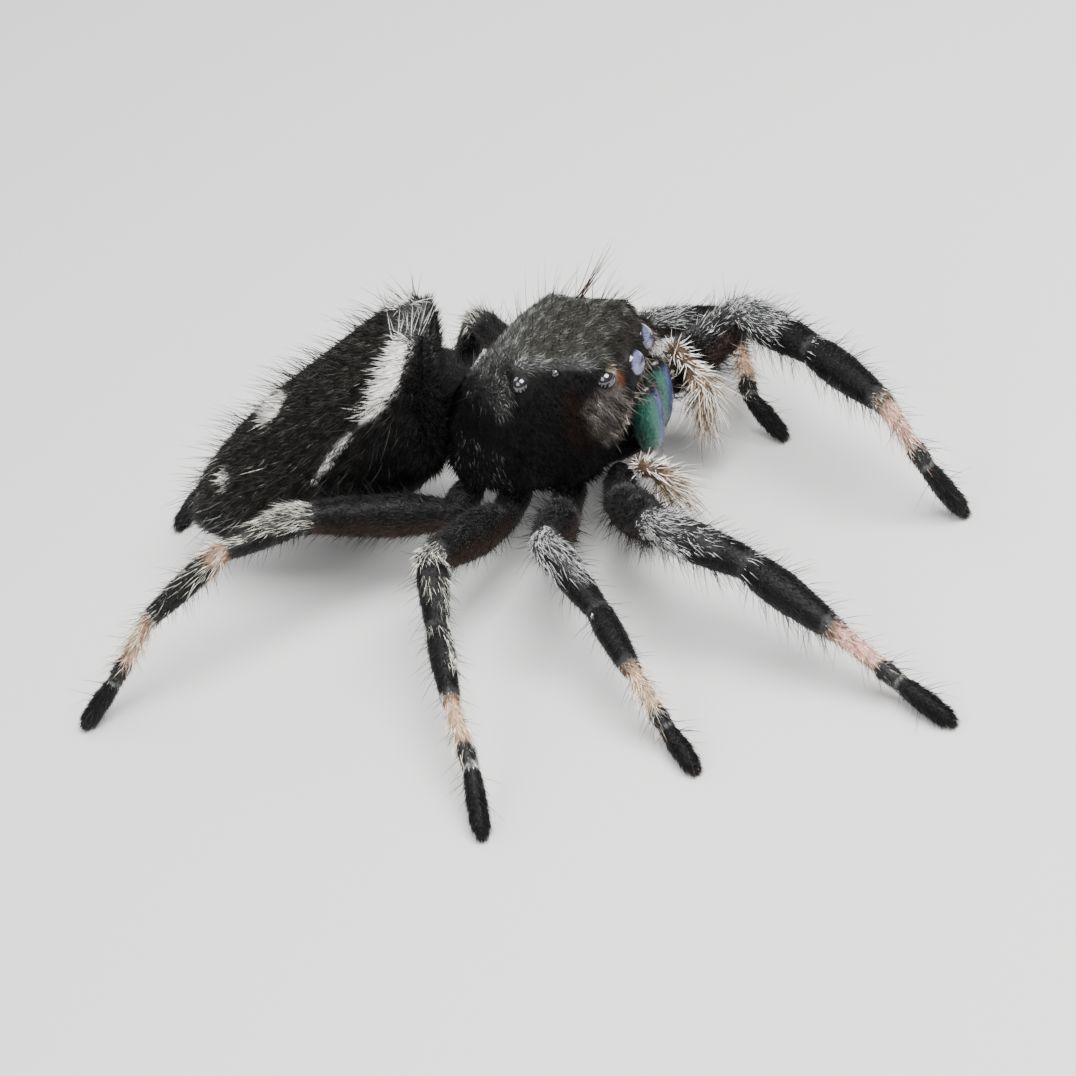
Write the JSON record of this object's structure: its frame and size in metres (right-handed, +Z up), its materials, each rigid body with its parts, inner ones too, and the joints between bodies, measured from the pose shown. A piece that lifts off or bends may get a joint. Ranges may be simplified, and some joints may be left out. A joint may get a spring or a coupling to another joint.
{
  "type": "jumping spider",
  "caption": "Life-size still model of an adult male jumping spider standing with its legs spread, for display.",
  "frame": {"origin": "on the floor, under the middle of the box round the animal", "axes": "+Z up, the animal faces -Y, its right side is at -X"},
  "size_m": [0.016, 0.0202, 0.0056],
  "materials": {
    "hair_black": "short black velvet of hairs",
    "hair_olive": "short greyish olive hairs",
    "hair_pale": "cream and white hairs",
    "eye_gloss": "wet, glossy, near black",
    "chelicera_green": "iridescent green, turning blue at its edge"
  },
  "bodies": {
    "root": {"abdomen": "hair_black", "carapace": "hair_olive", "chelicera_left": "chelicera_green", "chelicera_right": "chelicera_green", "eye_front_middle_left": "eye_gloss", "eye_front_middle_right": "eye_gloss", "eye_front_side_left": "eye_gloss", "eye_front_side_right": "eye_gloss", "eye_middle_left": "eye_gloss", "eye_middle_right": "eye_gloss", "eye_rear_left": "eye_gloss", "eye_rear_right": "eye_gloss", "leg_1_left_femur": "hair_black", "leg_1_left_metatarsus": "hair_pale", "leg_1_left_patella": "hair_black", "leg_1_left_tarsus": "hair_black", "leg_1_left_tibia": "hair_black", "leg_1_right_femur": "hair_black", "leg_1_right_metatarsus": "hair_pale", "leg_1_right_patella": "hair_black", "leg_1_right_tarsus": "hair_black", "leg_1_right_tibia": "hair_black", "leg_2_left_femur": "hair_black", "leg_2_left_metatarsus": "hair_pale", "leg_2_left_patella": "hair_black", "leg_2_left_tarsus": "hair_black", "leg_2_left_tibia": "hair_black", "leg_2_right_femur": "hair_black", "leg_2_right_metatarsus": "hair_pale", "leg_2_right_patella": "hair_black", "leg_2_right_tarsus": "hair_black", "leg_2_right_tibia": "hair_black", "leg_3_left_femur": "hair_black", "leg_3_left_metatarsus": "hair_pale", "leg_3_left_patella": "hair_black", "leg_3_left_tarsus": "hair_black", "leg_3_left_tibia": "hair_black", "leg_3_right_femur": "hair_black", "leg_3_right_metatarsus": "hair_pale", "leg_3_right_patella": "hair_black", "leg_3_right_tarsus": "hair_black", "leg_3_right_tibia": "hair_black", "leg_4_left_femur": "hair_black", "leg_4_left_metatarsus": "hair_pale", "leg_4_left_patella": "hair_black", "leg_4_left_tarsus": "hair_black", "leg_4_left_tibia": "hair_black", "leg_4_right_femur": "hair_black", "leg_4_right_metatarsus": "hair_pale", "leg_4_right_patella": "hair_black", "leg_4_right_tarsus": "hair_black", "leg_4_right_tibia": "hair_black", "palp_left_arm": "hair_black", "palp_left_tip": "hair_pale", "palp_right_arm": "hair_black", "palp_right_tip": "hair_pale", "pedicel": "hair_black", "spinnerets": "hair_black", "sternum": "hair_black"}
  },
  "joints": []
}
